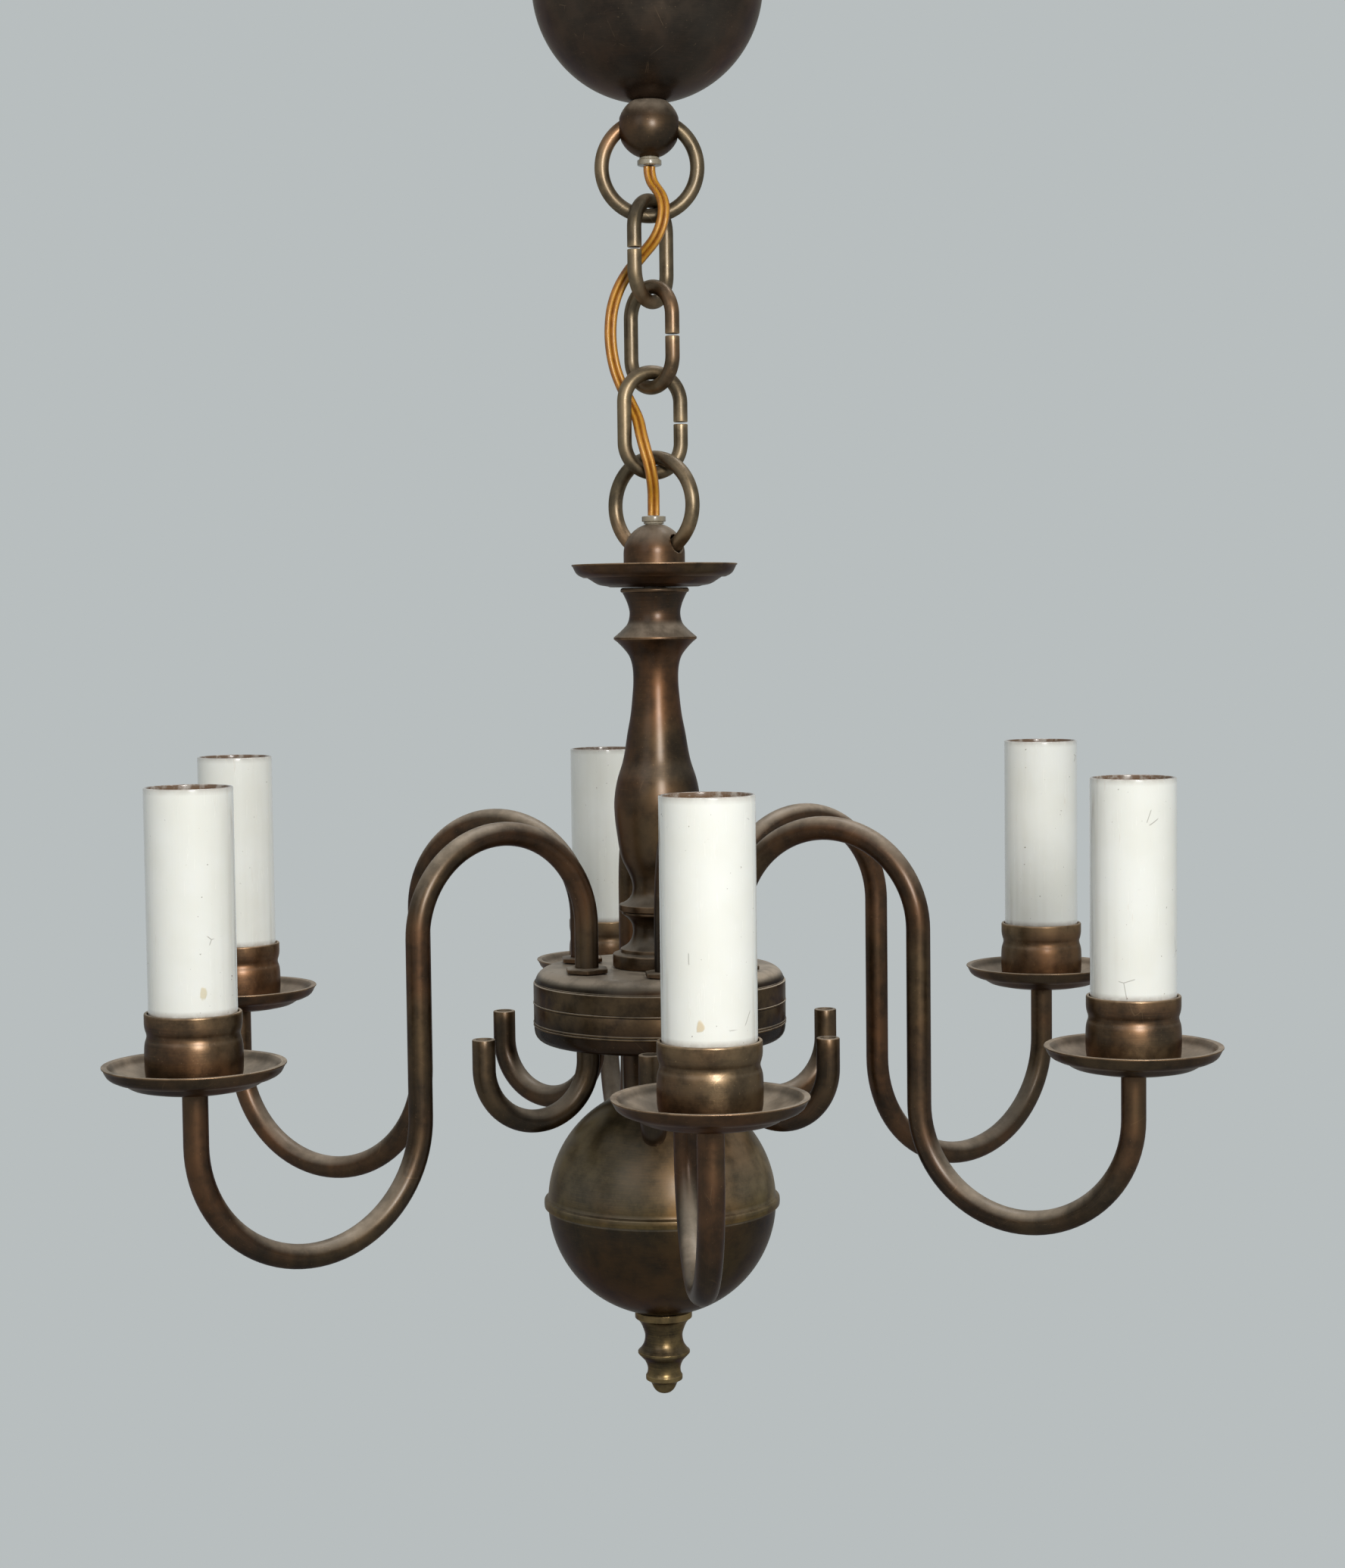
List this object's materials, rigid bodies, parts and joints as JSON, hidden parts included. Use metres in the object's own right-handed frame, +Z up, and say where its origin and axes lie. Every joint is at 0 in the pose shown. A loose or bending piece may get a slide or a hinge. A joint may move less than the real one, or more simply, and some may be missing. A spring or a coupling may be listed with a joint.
{
  "type": "chandelier",
  "caption": "Brass chandelier with curved candle arms round a turned column and drum, scroll hooks and a ball finial, hung on a short chain from a domed ceiling canopy.",
  "frame": {"origin": "centre of the ceiling strap's top face, on the ceiling", "axes": "+Z up along the column and into the ceiling; -Y towards the viewer of the picture, with the front arm 4.4 degrees to the right of it; +X to the right"},
  "size_m": [0.4321, 0.4756, 0.5825],
  "materials": {
    "antique_brass": "dark antique bronze lacquer, worn to golden brown on edges",
    "chain_wire": "dark antique bronze lacquer on round wire",
    "plated_steel": "zinc plated",
    "ivory_sleeve": "glossy ivory tube, scuffed",
    "holder_plastic": "dark moulded resin",
    "clear_plastic": "clear moulded, yellowed",
    "terminal_plastic": "natural nylon",
    "amber_flex": "clear amber flex with copper showing through"
  },
  "bodies": {
    "ceiling_mount": {"ceiling_strap": "plated_steel", "canopy_bowl": "antique_brass", "canopy_locknut": "plated_steel", "terminal_block": "terminal_plastic", "canopy_loop": "antique_brass", "upper_cord_bush": "clear_plastic", "supply_cord": "amber_flex"},
    "upper_ring": {"upper_ring": "chain_wire"},
    "chain_link_1": {"chain_link_1": "chain_wire"},
    "chain_link_2": {"chain_link_2": "chain_wire"},
    "chain_link_3": {"chain_link_3": "chain_wire"},
    "lower_ring": {"lower_ring": "chain_wire"},
    "frame": {"lower_cord_bush": "clear_plastic", "column_loop": "antique_brass", "top_dish": "antique_brass", "baluster": "antique_brass", "baluster_foot": "antique_brass", "drum_cover": "antique_brass", "drum_base": "antique_brass", "drum_stem": "antique_brass", "ball_upper_half": "antique_brass", "ball_lower_half": "antique_brass", "finial": "antique_brass", "column_rod": "plated_steel", "arm_1": "antique_brass", "drip_saucer_1": "antique_brass", "candle_cup_1": "antique_brass", "lampholder_1": "holder_plastic", "arm_2": "antique_brass", "drip_saucer_2": "antique_brass", "candle_cup_2": "antique_brass", "lampholder_2": "holder_plastic", "arm_3": "antique_brass", "drip_saucer_3": "antique_brass", "candle_cup_3": "antique_brass", "lampholder_3": "holder_plastic", "arm_4": "antique_brass", "drip_saucer_4": "antique_brass", "candle_cup_4": "antique_brass", "lampholder_4": "holder_plastic", "arm_5": "antique_brass", "drip_saucer_5": "antique_brass", "candle_cup_5": "antique_brass", "lampholder_5": "holder_plastic", "arm_6": "antique_brass", "drip_saucer_6": "antique_brass", "candle_cup_6": "antique_brass", "lampholder_6": "holder_plastic", "scroll_hook_1": "antique_brass", "scroll_hook_2": "antique_brass", "scroll_hook_3": "antique_brass", "scroll_hook_4": "antique_brass", "scroll_hook_5": "antique_brass", "scroll_hook_6": "antique_brass"},
    "candle_1": {"candle_sleeve_1": "ivory_sleeve"},
    "candle_2": {"candle_sleeve_2": "ivory_sleeve"},
    "candle_3": {"candle_sleeve_3": "ivory_sleeve"},
    "candle_4": {"candle_sleeve_4": "ivory_sleeve"},
    "candle_5": {"candle_sleeve_5": "ivory_sleeve"},
    "candle_6": {"candle_sleeve_6": "ivory_sleeve"}
  },
  "joints": [
    {"name": "loop_to_upper_ring", "type": "hinge", "parent": "ceiling_mount", "child": "upper_ring", "pos_m": [0, 0, -0.065], "axis": [1, 0, 0], "range_deg": [-25, 25], "deforming": ["supply_cord"]},
    {"name": "upper_ring_to_link_1", "type": "hinge", "parent": "upper_ring", "child": "chain_link_1", "pos_m": [0, 0, -0.0994], "axis": [-1, 0, 0], "range_deg": [-25, 25], "deforming": ["supply_cord"]},
    {"name": "link_1_to_link_2", "type": "hinge", "parent": "chain_link_1", "child": "chain_link_2", "pos_m": [0, 0, -0.1338], "axis": [0.5299, 0.848, 0], "range_deg": [-25, 25], "deforming": ["supply_cord"]},
    {"name": "link_2_to_link_3", "type": "hinge", "parent": "chain_link_2", "child": "chain_link_3", "pos_m": [0, 0, -0.1682], "axis": [0.682, -0.7314, 0], "range_deg": [-25, 25], "deforming": ["supply_cord"]},
    {"name": "link_3_to_lower_ring", "type": "hinge", "parent": "chain_link_3", "child": "lower_ring", "pos_m": [0, 0, -0.2026], "axis": [-0.9336, -0.3584, 0], "range_deg": [-25, 25], "deforming": ["supply_cord"]},
    {"name": "lower_ring_to_column", "type": "hinge", "parent": "lower_ring", "child": "frame", "pos_m": [0, 0, -0.2312], "axis": [-0.809, 0.5878, 0], "range_deg": [-25, 25], "deforming": ["supply_cord"]},
    {"name": "candle_1_lift", "type": "slide", "parent": "frame", "child": "candle_1", "axis": [0, 0, 1], "range_m": [0, 0.1]},
    {"name": "candle_2_lift", "type": "slide", "parent": "frame", "child": "candle_2", "axis": [0, 0, 1], "range_m": [0, 0.1]},
    {"name": "candle_3_lift", "type": "slide", "parent": "frame", "child": "candle_3", "axis": [0, 0, 1], "range_m": [0, 0.1]},
    {"name": "candle_4_lift", "type": "slide", "parent": "frame", "child": "candle_4", "axis": [0, 0, 1], "range_m": [0, 0.1]},
    {"name": "candle_5_lift", "type": "slide", "parent": "frame", "child": "candle_5", "axis": [0, 0, 1], "range_m": [0, 0.1]},
    {"name": "candle_6_lift", "type": "slide", "parent": "frame", "child": "candle_6", "axis": [0, 0, 1], "range_m": [0, 0.1]}
  ]
}
